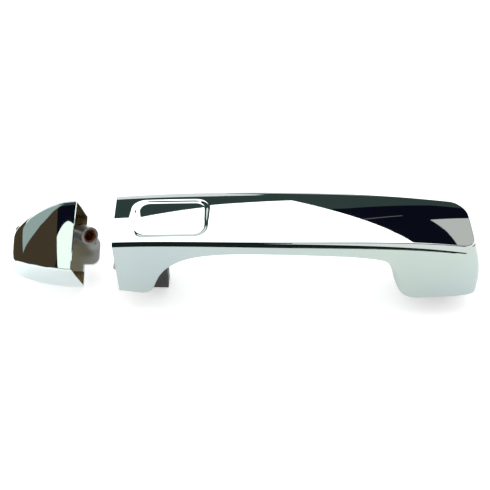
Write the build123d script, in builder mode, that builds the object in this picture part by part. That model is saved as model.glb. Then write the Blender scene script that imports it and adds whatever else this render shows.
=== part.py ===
from build123d import *
import math
import os

# Exterior pull handle for a car's right-hand side door, with its separate end cap.
# +X is the car's forward direction along the grip, +Z points out of the door skin, and the
# origin is the middle of the hinge pin. All sizes are millimetres.

# ---- Driving dimensions: grip ---------------------------------------------------------
REAR_X = -207.0            # pulled end of the grip
FRONT_X = 9.0              # hinged end of the grip
SKIN_Z = 7.0               # plane of the door skin, above the hinge pin
WALL = 2.2                 # wall of the plated shells
CROWN = 1.5                # how far the outer face bulges across its width
SEAL_T = 0.6               # thickness of the seal between cover and base
# x, half width at the crease, crease height, and the width and drop of the bevel below it
STATIONS = [
    (-207.0, 20.9, 47.1, 1.5, 1.9),
    (-184.0, 21.7, 48.9, 1.5, 2.0),
    (-145.0, 22.3, 50.8, 1.5, 2.1),
    (-110.0, 22.2, 51.5, 1.5, 2.3),
    (-77.0, 21.8, 51.7, 1.6, 2.8),
    (-38.0, 19.9, 51.1, 1.9, 3.5),
    (-15.0, 18.8, 49.4, 2.1, 4.2),
    (9.0, 18.4, 46.6, 2.2, 4.3),
]
# underside of the grip from its rear foot, over the finger gap, to its front foot
REAR_FOOT = [(-212.0, 9.3), (-190.0, 7.0)]
ARCH = [(-186.3, 8.6), (-184.4, 12.9), (-181.6, 19.8), (-178.0, 25.6), (-173.5, 30.3), (-166.0, 35.3),
        (-155.0, 39.2), (-138.0, 41.7), (-109.0, 42.4), (-74.0, 41.2), (-52.0, 38.2)]
FRONT_KNEE = [(-46.0, 36.6), (-43.6, 33.0), (-42.2, 26.5), (-40.4, 20.4), (-37.6, 14.4), (-33.4, 9.6)]
FRONT_FOOT = [(-28.5, 6.6), (13.0, 9.3)]
NOSE = [(8.3, 0.0), (8.8, 12.0), (9.0, 19.0), (7.2, 33.0), (3.8, 46.0), (1.8, 56.0)]
NOSE_R = 9.0               # plan radius of the grip's two front corners

# ---- Driving dimensions: pocket in the outer face --------------------------------------
POCKET_X = -174.6
POCKET_Y = -2.4
POCKET_L = 48.0
POCKET_W = 32.0
POCKET_R = 9.0
POCKET_DEPTH = 1.9
TRAY_T = 1.6

# ---- Driving dimensions: legs, pin and fasteners ---------------------------------------
PIN_R = 2.5
PIN_HALF = 11.0
PIN_END_R = 2.0            # stepped ends that sit in the door frame's ears
PIN_END_LENGTH = 3.0
BUSH_R = 3.5
BUSH_BORE_R = 2.54
BOSS_R = 6.4
ARM_HALF = 5.0
CLIP_R = 4.3
CLIP_T = 0.8
LEG_HALF = 4.5
LEG_X = (-193.5, -177.5)
LEG_BOTTOM = -8.0
PLATE_T = 3.0              # mounting plate at the top of each leg
BEAM_HALF = 14.0
PAD_TOP = 43.0             # flat pads at the beam's two ends
PAD_LOW = 39.0
SCREW_R = 1.5
SCREW_HEAD_R = 2.9
SCREW_HEAD_T = 1.8
SCREW_GRIP = 2.6           # how far a screw reaches into its boss

# ---- Driving dimensions: end cap ------------------------------------------------------
CAP_GAP = 1.2              # gap between the cap's rim and the grip once fitted
CAP_TRAVEL = 21.9          # distance that the loose cap lies away from the grip
CAP_ROLL = 31.4            # angle by which the loose cap lies rolled over, degrees
ROLL_Y = 8.0               # the roll axis, parallel to X
ROLL_Z = 26.9
CAP_WALL = 2.0
# distance behind the rim, half width at the crease, crease height, half width at the base
CAP_STATIONS = [
    (0.0, 20.9, 40.1, 22.4),
    (11.0, 19.6, 36.4, 21.7),
    (22.0, 16.6, 29.2, 20.1),
    (32.0, 12.4, 20.0, 17.6),
    (39.0, 8.6, 11.4, 15.0),
    (42.6, 6.4, 4.6, 13.2),
]
INSERT_R = 4.3
THREAD_R = 3.0             # minor radius of an M7 thread
CAP_BOSS_R = 5.6
CAP_BOSS_DIR = (0.59, -0.43, 0.69)
CAP_BOSS_MOUTH = (4.6, 6.2, 16.5)
CAP_BOSS_LENGTH = 15.0
CAP_PLATE_T = 3.0

os.makedirs("parts", exist_ok=True)


def cross_plane(x):
    """Plane across the grip at x, its own x along the row's Y and its own y along Z."""
    return Plane(origin=(x, 0, 0), x_dir=(0, 1, 0), z_dir=(1, 0, 0))


def side_plane(y):
    """Upright plane along the grip at y, facing -Y."""
    return Plane(origin=(0, y, 0), x_dir=(1, 0, 0), z_dir=(0, -1, 0))


def along(points, value):
    """Straight-line reading of a list of (x, height) points at one x."""
    for (x0, z0), (x1, z1) in zip(points, points[1:]):
        if x0 <= value <= x1:
            return z0 + (z1 - z0) * (value - x0) / (x1 - x0)
    return points[-1][1]


def pushed(points, distance):
    """Points moved to the left of their own direction of travel by a distance."""
    moved = []
    for i, (x, z) in enumerate(points):
        before = points[max(i - 1, 0)]
        after = points[min(i + 1, len(points) - 1)]
        dx, dz = after[0] - before[0], after[1] - before[1]
        size = math.hypot(dx, dz)
        moved.append((x - distance * dz / size, z + distance * dx / size))
    return moved


def envelope(inset):
    """Lofted form of the whole grip, made smaller on every side by the inset."""
    floor = -20.0
    with BuildPart() as form:
        for x, half, crease, out, drop in STATIONS:
            side = half + out - inset
            top = half - 0.6 * inset
            shoulder = crease - drop - 0.4 * inset
            ridge = crease - inset
            with BuildSketch(cross_plane(x)):
                with BuildLine():
                    Polyline((-top, ridge), (-side, shoulder), (-side, floor), (side, floor), (side, shoulder),
                             (top, ridge))
                    ThreePointArc((-top, ridge), (0, ridge + CROWN), (top, ridge))
                make_face()
        loft()
    return form.part


def under_cut(inset):
    """Everything below the grip: the space under its feet and its finger gap."""
    arch = pushed(ARCH + FRONT_KNEE, inset)
    rear = [REAR_FOOT[0], (REAR_FOOT[1][0] + inset * 0.4, REAR_FOOT[1][1])]
    front = [(FRONT_FOOT[0][0] + inset * 0.5, FRONT_FOOT[0][1]), FRONT_FOOT[1]]
    if inset > 0:
        rear = [(x, z - 20) for x, z in rear]
        front = [(x, z - 20) for x, z in front]
        rear[1] = (arch[0][0] - 0.4, rear[1][1])
        front[0] = (arch[-1][0] + 0.4, front[0][1])
    with BuildPart() as cut:
        with BuildSketch(side_plane(0)):
            with BuildLine():
                Polyline(rear[0], rear[1], arch[0])
                Spline(*arch[:len(ARCH)])
                Spline(*arch[len(ARCH) - 1:])
                Polyline(arch[-1], front[0], front[1], (FRONT_X + 20, -60), (REAR_X - 20, -60), rear[0])
            make_face()
        extrude(amount=40, both=True)
    return cut.part


def nose_form(inset):
    """Tall block whose front end gives the grip's rounded nose."""
    points = [(x - inset, z) for x, z in NOSE]
    with BuildPart() as block:
        with BuildSketch(side_plane(0)):
            with BuildLine():
                Spline(*points)
                Polyline(points[-1], (REAR_X + 0.6 * inset, 56), (REAR_X + 0.6 * inset, 0), points[0])
            make_face()
        extrude(amount=40, both=True)
        with BuildSketch(Plane.XY.offset(-5)):
            length = FRONT_X - REAR_X + 60
            with Locations((FRONT_X - inset - length / 2, 0)):
                RectangleRounded(length, 2 * (STATIONS[-1][1] + STATIONS[-1][3] - inset + 0.15), NOSE_R - 0.5 * inset)
            with Locations((-110 - inset, 0)):
                Rectangle(210, 70)
        extrude(amount=80, mode=Mode.INTERSECT)
    return block.part


def grip_solid(inset):
    """The whole grip as one solid, made smaller on every side by the inset."""
    with BuildPart() as solid:
        add(envelope(inset))
        add(under_cut(inset), mode=Mode.SUBTRACT)
        add(nose_form(inset), mode=Mode.INTERSECT)
    return solid.part


def seam_points(shift):
    """The seam between cover and base, seen from the side."""
    return [(x, crease - drop + shift) for x, _, crease, _, drop in STATIONS]


def seam_block(shift, upward):
    """Everything above or below the seam."""
    line = seam_points(shift)
    line = [(line[0][0] - 15, line[0][1] - 1.2)] + line + [(line[-1][0] + 10, line[-1][1] - 1.2)]
    far = 80 if upward else -40
    with BuildPart() as block:
        with BuildSketch(side_plane(0)):
            with BuildLine():
                Spline(*line)
                Polyline(line[-1], (line[-1][0], far), (line[0][0], far), line[0])
            make_face()
        extrude(amount=40, both=True)
    return block.part


OUTER = grip_solid(0)
INNER = grip_solid(WALL)
ABOVE = seam_block(0, True)
BELOW = seam_block(-SEAL_T, False)
CREASE = [(x, crease) for x, _, crease, _, _ in STATIONS]
POCKET_Z = along(CREASE, POCKET_X) + CROWN
BEAM_ENDS = (-205.4, -3.0)
BEAM_TOP = [(-185.0, PAD_TOP), (-166.0, 45.9), (-138.0, 48.0), (-109.0, 48.4), (-74.0, 48.2),
            (-48.0, 46.6), (-24.0, PAD_TOP)]
BEAM_LOW = [(-183.0, PAD_LOW), (-166.0, 41.4), (-138.0, 44.1), (-109.0, 44.75), (-74.0, 43.7),
            (-48.0, 42.0), (-24.0, PAD_LOW)]
COVER_SCREWS = [(-202.0, 10.5), (-202.0, -10.5), (-13.0, 9.0), (-13.0, -9.0)]

# Pocket outline, tilted with the outer face's slope
slope = math.atan2(along(CREASE, POCKET_X + 20) - along(CREASE, POCKET_X - 20), 40)
POCKET = Plane(origin=(POCKET_X, POCKET_Y, POCKET_Z), x_dir=(math.cos(slope), 0, math.sin(slope)),
               z_dir=(-math.sin(slope), 0, math.cos(slope)))

# Screw bosses under the outer cover, trimmed to its form
with BuildPart() as cover_bosses:
    with BuildSketch(Plane.XY.offset(PAD_TOP)):
        with Locations(*COVER_SCREWS):
            Circle(3.2)
    extrude(amount=16)
    add(OUTER, mode=Mode.INTERSECT)

# ---- Outer cover: the plated face, with an opening for the pocket and four screw bosses ---
with BuildPart() as outer_cover:
    add(OUTER)
    add(INNER, mode=Mode.SUBTRACT)
    add(ABOVE, mode=Mode.INTERSECT)
    with BuildSketch(POCKET.offset(-12)):
        RectangleRounded(POCKET_L, POCKET_W, POCKET_R)
    extrude(amount=20, mode=Mode.SUBTRACT)
    add(cover_bosses.part)
    with BuildSketch(Plane.XY.offset(PAD_TOP)):
        with Locations(*COVER_SCREWS):
            Circle(SCREW_R)
    extrude(amount=SCREW_GRIP, mode=Mode.SUBTRACT)
outer_cover.part.label = "outer_cover"

# ---- Pocket tray: the shallow dished panel let into the outer cover -----------------------
with BuildPart() as pocket_tray:
    with BuildSketch(POCKET.offset(-0.35)):
        RectangleRounded(POCKET_L - 0.3, POCKET_W - 0.3, POCKET_R - 0.15)
    with BuildSketch(POCKET.offset(-POCKET_DEPTH - TRAY_T)):
        RectangleRounded(POCKET_L - 0.3, POCKET_W - 0.3, POCKET_R - 0.15)
    loft()
    with BuildSketch(POCKET.offset(-POCKET_DEPTH)):
        RectangleRounded(POCKET_L - 9.0, POCKET_W - 7.0, POCKET_R - 3.5)
    with BuildSketch(POCKET.offset(0.4)):
        RectangleRounded(POCKET_L - 1.6, POCKET_W - 1.6, POCKET_R - 0.8)
    loft(mode=Mode.SUBTRACT)
pocket_tray.part.label = "pocket_tray"

# ---- Base: the plated lower shell with both feet and the finger side of the grip ----------
with BuildPart() as grip_base:
    add(OUTER)
    add(INNER, mode=Mode.SUBTRACT)
    add(BELOW, mode=Mode.INTERSECT)
    # slot in the rear foot's inner wall, where the pull leg comes through
    with Locations(((LEG_X[0] + LEG_X[1]) / 2 + 2, 0, 8)):
        Box(20, 2 * LEG_HALF + 1.4, 44, mode=Mode.SUBTRACT)
    # notch in the rear end wall, which clears the cap's boss and plate
    with BuildSketch(cross_plane(REAR_X - 5)):
        with Locations((1, 15.5)):
            Rectangle(31, 41)
    extrude(amount=9, mode=Mode.SUBTRACT)
grip_base.part.label = "grip_base"

# ---- Seam seal: thin black strip between cover and base ------------------------------------
with BuildPart() as seam_seal:
    add(grip_solid(0.5))
    add(grip_solid(WALL - 0.3), mode=Mode.SUBTRACT)
    add(seam_block(0, False), mode=Mode.INTERSECT)
    add(seam_block(-SEAL_T, True), mode=Mode.INTERSECT)
seam_seal.part.label = "seam_seal"

# ---- Core beam: reinforcing bar inside the grip --------------------------------------------
with BuildPart() as core_beam:
    with BuildSketch(side_plane(0)):
        with BuildLine():
            Spline(*BEAM_TOP)
            Spline(*BEAM_LOW)
            Polyline(BEAM_TOP[0], (BEAM_ENDS[0], PAD_TOP), (BEAM_ENDS[0], PAD_LOW), BEAM_LOW[0])
            Polyline(BEAM_TOP[-1], (BEAM_ENDS[1], PAD_TOP), (BEAM_ENDS[1], PAD_LOW), BEAM_LOW[-1])
        make_face()
    extrude(amount=BEAM_HALF, both=True)
    for x, y in COVER_SCREWS:
        with Locations((x, y, 42)):
            Cylinder(SCREW_R, 30, mode=Mode.SUBTRACT)
core_beam.part.label = "core_beam"

# ---- Rattle pads: two foam strips between the beam and the outer cover ----------------------
PAD_XS = (-115.0, -75.0)
PAD_SIZE = (16.0, 18.0, 0.9)
with BuildPart() as rattle_pads:
    for x in PAD_XS:
        with Locations((x, 0, along(BEAM_TOP, x) + 0.35 + PAD_SIZE[2] / 2)):
            Box(*PAD_SIZE)
rattle_pads.part.label = "rattle_pads"


def screw_group(places, head_top, length):
    """Pan-head screws pointing up, their heads' flat faces at head_top."""
    with BuildPart() as screws:
        for x, y in places:
            with BuildSketch(Plane.XY.offset(head_top - SCREW_HEAD_T)):
                with Locations((x, y)):
                    Circle(SCREW_HEAD_R)
            extrude(amount=SCREW_HEAD_T)
            with BuildSketch(Plane.XY.offset(head_top)):
                with Locations((x, y)):
                    Circle(SCREW_R)
            extrude(amount=length)
            with BuildSketch(Plane.XY.offset(head_top - SCREW_HEAD_T)):
                with Locations((x, y)):
                    RegularPolygon(1.3, 6)
            extrude(amount=1.0, mode=Mode.SUBTRACT)
    return screws.part


# ---- Pull leg: the dark blade that works the latch lever ------------------------------------
LEG_FOOT = -196.0
LEG_PLATE = (-205.4, -184.0)
WINDOW_DEPTH = 7.2
with BuildPart() as pull_leg:
    with BuildSketch(side_plane(0)):
        with BuildLine():
            Polyline((LEG_FOOT, 36.5), (-186.5, 36.5), (LEG_X[1], 23.0), (LEG_X[1], LEG_BOTTOM),
                     (LEG_X[0], LEG_BOTTOM), (LEG_X[0], 14.0), (LEG_FOOT, 26.0), close=True)
        make_face()
    extrude(amount=LEG_HALF, both=True)
    with Locations(((LEG_PLATE[0] + LEG_PLATE[1]) / 2, 0, PAD_LOW - PLATE_T / 2)):
        Box(LEG_PLATE[1] - LEG_PLATE[0], 2 * BEAM_HALF, PLATE_T)
    for x, y in COVER_SCREWS[:2]:
        with Locations((x, y, 38)):
            Cylinder(SCREW_R, 12, mode=Mode.SUBTRACT)
    # window for the latch lever, open to the far side only
    with BuildSketch(side_plane(LEG_HALF)):
        with Locations(((LEG_X[0] + LEG_X[1]) / 2, -1.2)):
            RectangleRounded(9.0, 6.4, 1.5)
    extrude(amount=WINDOW_DEPTH, mode=Mode.SUBTRACT)
pull_leg.part.label = "pull_leg"

# ---- Leg shoe: nylon liner of the leg's window ----------------------------------------------
with BuildPart() as leg_shoe:
    with BuildSketch(side_plane(LEG_HALF)):
        with Locations(((LEG_X[0] + LEG_X[1]) / 2, -1.2)):
            RectangleRounded(9.0, 6.4, 1.5)
            RectangleRounded(7.4, 4.8, 0.9, mode=Mode.SUBTRACT)
    extrude(amount=WINDOW_DEPTH)
leg_shoe.part.label = "leg_shoe"

# ---- Hinge arm: the dark arm in the front foot, with the pivot eye --------------------------
ARM_PLATE = (-22.0, -4.0)
with BuildPart() as hinge_arm:
    with BuildSketch(side_plane(0)):
        with BuildLine():
            Polyline((-20.0, 37.0), (-6.0, 37.0), (BOSS_R, 2.0), (BOSS_R, 0), (-BOSS_R, 0), (-16.0, 12.0), close=True)
        make_face()
        Circle(BOSS_R)
        Circle(BUSH_R, mode=Mode.SUBTRACT)
    extrude(amount=ARM_HALF, both=True)
    with Locations(((ARM_PLATE[0] + ARM_PLATE[1]) / 2, 0, PAD_LOW - PLATE_T / 2)):
        Box(ARM_PLATE[1] - ARM_PLATE[0], 2 * BEAM_HALF - 2, PLATE_T)
    for x, y in COVER_SCREWS[2:]:
        with Locations((x, y, 38)):
            Cylinder(SCREW_R, 12, mode=Mode.SUBTRACT)
hinge_arm.part.label = "hinge_arm"

# ---- Hinge bushes: two flanged liners pressed into the eye ----------------------------------
with BuildPart() as hinge_bushes:
    for side in (-1, 1):
        with BuildSketch(side_plane(side * ARM_HALF)):
            Circle(BUSH_R)
            Circle(BUSH_BORE_R, mode=Mode.SUBTRACT)
        extrude(amount=side * (ARM_HALF - 0.5))
        with BuildSketch(side_plane(side * ARM_HALF)):
            Circle(BUSH_R + 1.6)
            Circle(BUSH_BORE_R, mode=Mode.SUBTRACT)
        extrude(amount=-side * 0.8)
hinge_bushes.part.label = "hinge_bushes"

# ---- Hinge pin and the two clips that hold it -----------------------------------------------
with BuildPart() as hinge_pin:
    with BuildSketch(side_plane(0)):
        Circle(PIN_R)
    extrude(amount=PIN_HALF - PIN_END_LENGTH, both=True)
    with BuildSketch(side_plane(0)):
        Circle(PIN_END_R)
    extrude(amount=PIN_HALF, both=True)
    tips = hinge_pin.edges().filter_by(GeomType.CIRCLE).sort_by(Axis.Y)
    chamfer([tips[0], tips[-1]], length=0.4)
hinge_pin.part.label = "hinge_pin"

CLIP_Y = ARM_HALF + 1.2
with BuildPart() as pin_clips:
    for side in (-1, 1):
        with BuildSketch(side_plane(side * CLIP_Y)):
            Circle(CLIP_R)
            Circle(PIN_R, mode=Mode.SUBTRACT)
            with Locations((0, -CLIP_R)):
                Rectangle(2.6, 2 * CLIP_R - 3.2, mode=Mode.SUBTRACT)
        extrude(amount=-side * CLIP_T)
pin_clips.part.label = "pin_clips"

# ---- Screws that clamp cover, beam and legs together ----------------------------------------
with BuildPart() as cover_screws:
    add(screw_group(COVER_SCREWS, PAD_LOW - PLATE_T, PAD_TOP - PAD_LOW + PLATE_T + SCREW_GRIP))
cover_screws.part.label = "cover_screws"

# ---- End tongue: lead-in tab at the pulled end, inside the near wall ------------------------
with BuildPart() as end_tongue:
    with BuildSketch(side_plane(-11.5)):
        with BuildLine():
            Polyline((REAR_X + 0.4, 33.6), (REAR_X - 2.3, 17.5), (REAR_X - 1.4, 16.5), (REAR_X + 6.0, 16.5),
                     (REAR_X + 7.0, 33.6), close=True)
        make_face()
    extrude(amount=2.0)
    with BuildSketch(side_plane(-11.5)):
        with Locations((REAR_X + 5.0, 25.0)):
            Rectangle(2.0, 16.0)
    extrude(amount=STATIONS[0][1] + STATIONS[0][3] - WALL - 11.5)
end_tongue.part.label = "end_tongue"

# ---- End cap, modelled where it lies loose: rolled over and away from the grip --------------
roll = math.radians(CAP_ROLL)
rise = SKIN_Z - ROLL_Z
RIM = (REAR_X - CAP_GAP - CAP_TRAVEL,
       ROLL_Y - ROLL_Y * math.cos(roll) - rise * math.sin(roll),
       ROLL_Z - ROLL_Y * math.sin(roll) + rise * math.cos(roll))
CAP = Plane(origin=RIM, x_dir=(1, 0, 0), z_dir=(0, -math.sin(roll), math.cos(roll)))


def cap_point(x, y, z):
    """Row position of a point given in the cap's own frame: rim at x = 0, base at z = 0."""
    return CAP.from_local_coords(Vector(x, y, z))


def cap_cross(x):
    """Plane across the cap at x, facing the grip."""
    return Plane(origin=cap_point(x, 0, 0), x_dir=CAP.y_dir, z_dir=CAP.x_dir)


def cap_side(y):
    """Upright plane along the cap at y."""
    return Plane(origin=cap_point(0, y, 0), x_dir=CAP.x_dir, z_dir=-CAP.y_dir)


def cap_form(inset, floor):
    """Lofted form of the cap, made smaller by the inset and standing on the given floor."""
    with BuildPart() as form:
        for back, half, crease, foot in CAP_STATIONS:
            x = -back
            if inset > 0:
                x = 1.0 if back == 0 else -back + inset * back / CAP_STATIONS[-1][0]
            top = half - 0.8 * inset
            side = foot - inset
            ridge = max(crease - inset, floor + 1.4)
            shoulder = max(ridge - 1.9, floor + 0.7)
            shoulder_half = top + (side - top) * 0.75
            with BuildSketch(cap_cross(x)):
                with BuildLine():
                    Polyline((-top, ridge), (-shoulder_half, shoulder), (-side, floor), (side, floor),
                             (shoulder_half, shoulder), (top, ridge))
                    ThreePointArc((-top, ridge), (0, ridge + CROWN * half / 21), (top, ridge))
                make_face()
        loft()
    return form.part


# Shell: hollow plated teardrop, open towards the grip, with a floor against the door
with BuildPart() as cap_shell:
    add(cap_form(0, 0))
    add(cap_form(CAP_WALL, CAP_WALL), mode=Mode.SUBTRACT)
    # the floor's rim is stepped back beside the retainer
    with BuildSketch(CAP.offset(-1)):
        with Locations((0, -14.0), (0, 14.0)):
            Rectangle(5.0, 9.0)
    extrude(amount=1 + CAP_WALL, mode=Mode.SUBTRACT)
    # the retainer's post passes through the floor
    with BuildSketch(CAP.offset(-1)):
        with Locations((-11.0, 0)):
            RectangleRounded(10.0, 8.0, 1.5)
    extrude(amount=1 + CAP_WALL, mode=Mode.SUBTRACT)
    with BuildSketch(CAP.offset(-1)):
        with Locations((-20.0, 9.0), (-20.0, -9.0)):
            Circle(1.6)
    extrude(amount=1 + CAP_WALL, mode=Mode.SUBTRACT)
cap_shell.part.label = "cap_shell"

BOSS_AXIS = Vector(*CAP_BOSS_DIR).normalized()
boss_mouth = cap_point(*CAP_BOSS_MOUTH)
boss_dir = cap_point(*BOSS_AXIS) - cap_point(0, 0, 0)
BOSS = Plane(origin=boss_mouth, z_dir=boss_dir)

# Retainer: die-cast plate on the cap's floor, with a leaning threaded boss, a lobe that
# reaches under the grip, an upright web for the axis screw and a post into the door
with BuildPart() as retainer:
    with BuildSketch(CAP.offset(CAP_WALL)):
        with Locations((-12.0, 0)):
            Rectangle(24.0, 27.0)
        with Locations((1.0, 0)):
            RectangleRounded(17.0, 18.0, 5.0)
    extrude(amount=CAP_PLATE_T)
    # post
    with BuildSketch(CAP.offset(CAP_WALL)):
        with Locations((-11.0, 0)):
            RectangleRounded(10.0, 8.0, 1.5)
    extrude(amount=-CAP_WALL - 11.0)
    # leaning boss
    with BuildSketch(BOSS.offset(-CAP_BOSS_LENGTH)):
        Circle(CAP_BOSS_R)
    extrude(amount=CAP_BOSS_LENGTH)
    # rib under the boss
    with BuildSketch(cap_side(8.0)):
        with BuildLine():
            Polyline((-9.0, CAP_WALL + 1), (8.0, CAP_WALL + 1), (5.0, 9.0), (0.0, 10.0), (-6.0, 8.0), close=True)
        make_face()
    extrude(amount=4.0)
    # web
    with BuildSketch(cap_cross(-15.0)):
        with BuildLine():
            Polyline((1.0, CAP_WALL + 1), (13.4, CAP_WALL + 1), (13.4, 19.0), (11.0, 25.0), (4.0, 25.0), close=True)
        make_face()
    extrude(amount=2.6)
    # trimmed to stay inside the shell and above its floor
    with BuildSketch(cap_cross(-26.0)):
        Rectangle(2 * 13.5, 80)
    extrude(amount=60, mode=Mode.INTERSECT)
    with BuildSketch(BOSS.offset(-CAP_BOSS_LENGTH)):
        Circle(INSERT_R)
    extrude(amount=CAP_BOSS_LENGTH + 2, mode=Mode.SUBTRACT)
    with BuildSketch(cap_cross(-18.0)):
        with Locations((ROLL_Y, ROLL_Z - SKIN_Z)):
            Circle(2.04)
    extrude(amount=8, mode=Mode.SUBTRACT)
    with BuildSketch(CAP.offset(CAP_WALL - 1)):
        with Locations((-20.0, 9.0), (-20.0, -9.0)):
            Circle(1.6)
    extrude(amount=CAP_PLATE_T + 2, mode=Mode.SUBTRACT)
retainer.part.label = "retainer"

# Threaded insert in the leaning boss
with BuildPart() as thread_insert:
    with BuildSketch(BOSS.offset(-CAP_BOSS_LENGTH + 1.0)):
        Circle(INSERT_R)
        Circle(THREAD_R, mode=Mode.SUBTRACT)
    extrude(amount=CAP_BOSS_LENGTH - 1.6)
thread_insert.part.label = "thread_insert"

# Rivets that hold the retainer on the cap's floor
with BuildPart() as retainer_rivets:
    with BuildSketch(CAP):
        with Locations((-20.0, 9.0), (-20.0, -9.0)):
            Circle(1.6)
    extrude(amount=CAP_WALL + CAP_PLATE_T)
    with BuildSketch(CAP.offset(CAP_WALL + CAP_PLATE_T)):
        with Locations((-20.0, 9.0), (-20.0, -9.0)):
            Circle(2.7)
    extrude(amount=1.1, taper=20)
    with BuildSketch(CAP):
        with Locations((-20.0, 9.0), (-20.0, -9.0)):
            Circle(2.7)
    extrude(amount=-0.8)
retainer_rivets.part.label = "retainer_rivets"


def axis_plane(x):
    """Plane across the roll axis, at a distance x from the cap's rim."""
    return Plane(origin=(RIM[0] + x, ROLL_Y, ROLL_Z), x_dir=(0, 1, 0), z_dir=(1, 0, 0))


# Axis screw through the retainer's web, about which the loose cap rolls, and its lock nut
with BuildPart() as cap_screw:
    with BuildSketch(axis_plane(-18.2)):
        Circle(2.0)
    extrude(amount=6.0)
    with BuildSketch(axis_plane(-12.2)):
        Circle(3.6)
    extrude(amount=2.2)
    with BuildSketch(axis_plane(-10.0)):
        RegularPolygon(1.6, 6)
    extrude(amount=-1.2, mode=Mode.SUBTRACT)
cap_screw.part.label = "cap_screw"

with BuildPart() as cap_screw_nut:
    with BuildSketch(axis_plane(-15.2)):
        RegularPolygon(3.4, 6)
        Circle(2.0, mode=Mode.SUBTRACT)
    extrude(amount=-2.4)
cap_screw_nut.part.label = "cap_screw_nut"

PIECES = [outer_cover, pocket_tray, grip_base, seam_seal, core_beam, rattle_pads, pull_leg, leg_shoe,
          hinge_arm, hinge_bushes, hinge_pin, pin_clips, cover_screws, end_tongue, cap_shell, retainer, thread_insert,
          retainer_rivets, cap_screw, cap_screw_nut]
for piece in PIECES:
    export_step(piece.part, "parts/" + piece.part.label + ".step")
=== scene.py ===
"""Chrome exterior door handle for a right-hand door: grip, loose end cap, finishes and studio."""

import logging
import math
from dataclasses import dataclass, field
from enum import Enum
from typing import Callable, Optional, Sequence

import bmesh
import bpy
import numpy as np
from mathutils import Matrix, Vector


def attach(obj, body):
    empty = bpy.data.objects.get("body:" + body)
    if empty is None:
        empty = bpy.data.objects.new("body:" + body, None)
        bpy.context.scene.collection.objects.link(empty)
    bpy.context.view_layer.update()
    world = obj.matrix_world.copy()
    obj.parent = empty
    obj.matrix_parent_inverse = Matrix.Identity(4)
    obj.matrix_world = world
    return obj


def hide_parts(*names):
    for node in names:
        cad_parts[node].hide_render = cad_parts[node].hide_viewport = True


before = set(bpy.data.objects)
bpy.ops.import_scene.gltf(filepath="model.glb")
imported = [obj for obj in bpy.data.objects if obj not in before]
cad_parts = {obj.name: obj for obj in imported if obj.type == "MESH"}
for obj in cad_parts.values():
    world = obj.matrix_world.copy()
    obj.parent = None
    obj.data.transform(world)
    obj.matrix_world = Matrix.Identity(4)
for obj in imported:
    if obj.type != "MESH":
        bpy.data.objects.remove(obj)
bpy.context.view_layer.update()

MM = 0.001
HALF_TURN = math.tan(math.radians(22.0))
LOG = logging.getLogger("door_handle")

Table = Sequence[tuple[float, ...]]


class Body(Enum):
    """CAD bodies that the pieces ride on."""

    GRIP = "grip"
    CAP = "cap"


class Tone(Enum):
    """Linear radiance of the studio's cards."""

    SOFTBOX = (2.3, 2.34, 2.32)
    WHITE = (1.35, 1.42, 1.30)
    SLATE = (0.040, 0.062, 0.058)
    NAVY = (0.004, 0.005, 0.012)
    GREY = (0.66, 0.65, 0.63)
    DIM = (0.16, 0.16, 0.17)
    BROWN = (0.075, 0.052, 0.030)
    BLACK = (0.012, 0.018, 0.016)
    MIST = (0.42, 0.50, 0.47)


# ---- Small maths ---------------------------------------------------------------------------


def smooth(t: np.ndarray) -> np.ndarray:
    """Smoother-step of t, clipped to 0..1."""
    t = np.clip(t, 0.0, 1.0)
    return t * t * t * (t * (6 * t - 15) + 10)


def flowing(points: Table, count: int) -> np.ndarray:
    """Smooth curve through points.

    Args:
        points: Points of any dimension that the curve passes through.
        count: How many points the result has, evenly spread along the curve.

    Returns:
        Array of shape (count, dimension).
    """
    p = np.array(points, float)
    q = np.vstack([2 * p[0] - p[1], p, 2 * p[-1] - p[-2]])
    t = np.linspace(0, 1, 24, endpoint=False)[:, None]
    runs = []
    for a, b, c, d in zip(q, q[1:], q[2:], q[3:]):
        runs.append(0.5 * (2 * b + (c - a) * t + (2 * a - 5 * b + 4 * c - d) * t**2
                           + (3 * b - a - 3 * c + d) * t**3))
    line = np.vstack(runs + [p[-1:]])
    gone = np.r_[0, np.cumsum(np.linalg.norm(np.diff(line, axis=0), axis=1))]
    at = np.linspace(0, gone[-1], count)
    return np.stack([np.interp(at, gone, line[:, k]) for k in range(p.shape[1])], axis=1)


def softened(values: np.ndarray, rounds: int) -> np.ndarray:
    """Values along a line, evened out by repeated averaging, with both ends kept.

    Args:
        values: Values in order along the line.
        rounds: How many times they are averaged.

    Returns:
        The evened values.
    """
    out = values.copy()
    for _ in range(rounds):
        out[1:-1] = 0.25 * out[:-2] + 0.5 * out[1:-1] + 0.25 * out[2:]
    return out


def plan_normals(line: np.ndarray) -> np.ndarray:
    """Unit normals to the right of a plan line's direction of travel.

    Args:
        line: Array of (x, y) points.

    Returns:
        Array of unit (x, y) normals, one per point.
    """
    step = np.gradient(line, axis=0)
    step /= np.linalg.norm(step, axis=1)[:, None]
    return np.stack([step[:, 1], -step[:, 0]], axis=1)


# ---- Mesh making ---------------------------------------------------------------------------


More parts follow.
